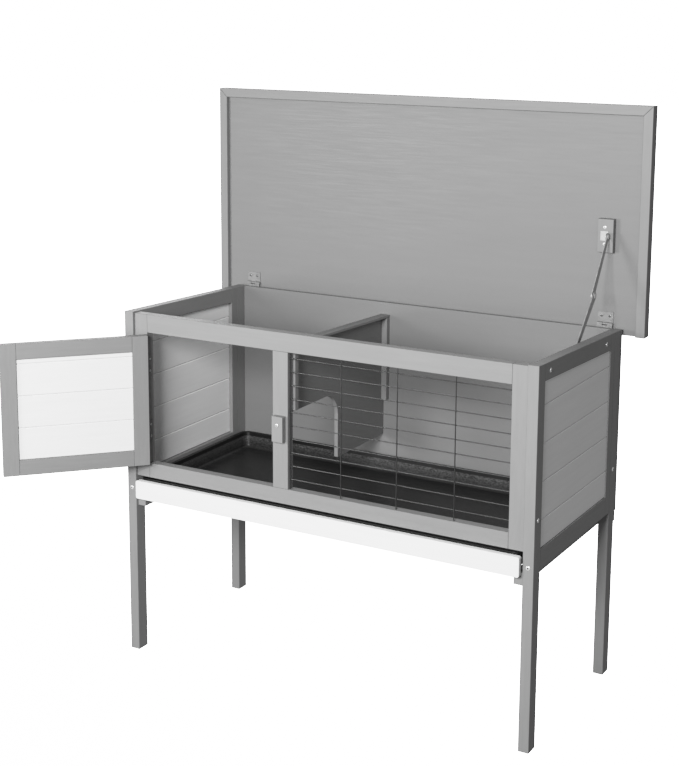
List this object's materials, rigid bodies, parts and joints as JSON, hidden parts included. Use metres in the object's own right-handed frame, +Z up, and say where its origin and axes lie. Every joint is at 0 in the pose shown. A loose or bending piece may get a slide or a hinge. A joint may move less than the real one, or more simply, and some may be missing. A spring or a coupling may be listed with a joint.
{
  "type": "rabbit hutch",
  "caption": "Raised timber hutch with a hinged felted roof on a folding stay, a planked door, a wire window, an inner divider and a slide-out tray.",
  "frame": {"origin": "on the floor, under the middle of the hutch's outer box as drawn, roof up and door open", "axes": "+X to the right seen from the front, -Y towards the front, +Z up"},
  "size_m": [1.0194, 0.629, 1.0732],
  "materials": {
    "grey_timber": "grey paint over planed softwood, grain faintly showing",
    "grey_panel": "grey paint over smooth plywood",
    "white_boards": "white paint over bevelled softwood boards",
    "roofing_felt": "bitumen felt with mineral granules",
    "tray_plastic": "moulded black plastic, lightly stippled",
    "mesh_wire": "black-coated welded wire",
    "hinge_steel": "zinc-plated pressed steel",
    "zinc_fastener": "bright zinc-plated screws, pins and rivets"
  },
  "bodies": {
    "hutch": {"left_front_leg": "grey_timber", "right_front_leg": "grey_timber", "left_rear_leg": "grey_timber", "right_rear_leg": "grey_timber", "left_top_rail": "grey_timber", "right_top_rail": "grey_timber", "left_bottom_rail": "grey_timber", "right_bottom_rail": "grey_timber", "left_rear_stile": "grey_timber", "right_rear_stile": "grey_timber", "left_side_boards": "white_boards", "right_side_boards": "white_boards", "left_runner": "grey_timber", "right_runner": "grey_timber", "rear_batten": "grey_timber", "back_panel": "grey_panel", "front_left_stile": "grey_timber", "front_middle_stile": "grey_timber", "front_right_stile": "grey_timber", "front_top_rail": "grey_timber", "front_bottom_rail": "grey_timber", "wire_mesh": "mesh_wire", "divider_panel": "grey_panel", "divider_top_batten": "grey_timber", "divider_front_cleat": "grey_timber", "divider_rear_cleat": "grey_timber", "frame_screws": "zinc_fastener", "hinge_screws": "zinc_fastener", "turn_button_screw": "zinc_fastener", "door_hinge_frame_leaves": "hinge_steel", "door_hinge_pins": "zinc_fastener", "roof_hinge_body_leaves": "hinge_steel", "roof_hinge_pins": "zinc_fastener", "stay_body_bracket": "hinge_steel", "stay_lower_rivet": "zinc_fastener"},
    "tray": {"tray_pan": "tray_plastic", "tray_front_board": "white_boards", "tray_screws": "zinc_fastener"},
    "door": {"door_hinge_stile": "grey_timber", "door_free_stile": "grey_timber", "door_top_rail": "grey_timber", "door_bottom_rail": "grey_timber", "door_boards": "white_boards", "door_hinge_door_leaves": "hinge_steel", "door_screws": "zinc_fastener"},
    "turn_button": {"turn_button": "grey_timber"},
    "roof": {"roof_panel": "grey_panel", "roof_front_fascia": "grey_timber", "roof_left_fascia": "grey_timber", "roof_right_fascia": "grey_timber", "roof_felt": "roofing_felt", "roof_hinge_roof_leaves": "hinge_steel", "stay_roof_block": "grey_timber", "stay_roof_bracket": "hinge_steel", "stay_upper_rivet": "zinc_fastener", "roof_screws": "zinc_fastener"},
    "stay_upper": {"stay_upper_arm": "hinge_steel", "stay_elbow_rivet_upper": "zinc_fastener"},
    "stay_lower": {"stay_lower_arm": "hinge_steel", "stay_elbow_rivet_lower": "zinc_fastener"}
  },
  "joints": [
    {"name": "roof_hinge", "type": "hinge", "parent": "hutch", "child": "roof", "pos_m": [0.04674, 0.29516, 0.66919], "axis": [1, 0, 0], "range_deg": [0, 87.78]},
    {"name": "door_hinge", "type": "hinge", "parent": "hutch", "child": "door", "pos_m": [-0.32351, -0.10154, 0.5125], "axis": [0, 0, 1], "range_deg": [-42, 133]},
    {"name": "button_turn", "type": "hinge", "parent": "hutch", "child": "turn_button", "pos_m": [-0.03026, -0.09944, 0.506], "axis": [0, 1, 0], "continuous": true},
    {"name": "tray_slide", "type": "slide", "parent": "hutch", "child": "tray", "axis": [0, -1, 0], "range_m": [0, 0.33]},
    {"name": "stay_upper_pivot", "type": "hinge", "parent": "roof", "child": "stay_upper", "pos_m": [0.43774, 0.27846, 0.83419], "axis": [1, 0, 0], "range_deg": [0, 34.77]},
    {"name": "stay_lower_pivot", "type": "hinge", "parent": "hutch", "child": "stay_lower", "pos_m": [0.44024, 0.11596, 0.644], "axis": [1, 0, 0], "range_deg": [-39.8, 0]}
  ],
  "couplings": [
    {"joint": "stay_upper_pivot", "follows": "roof_hinge", "ratio": 0.39597},
    {"joint": "stay_lower_pivot", "follows": "roof_hinge", "ratio": -0.45337}
  ]
}
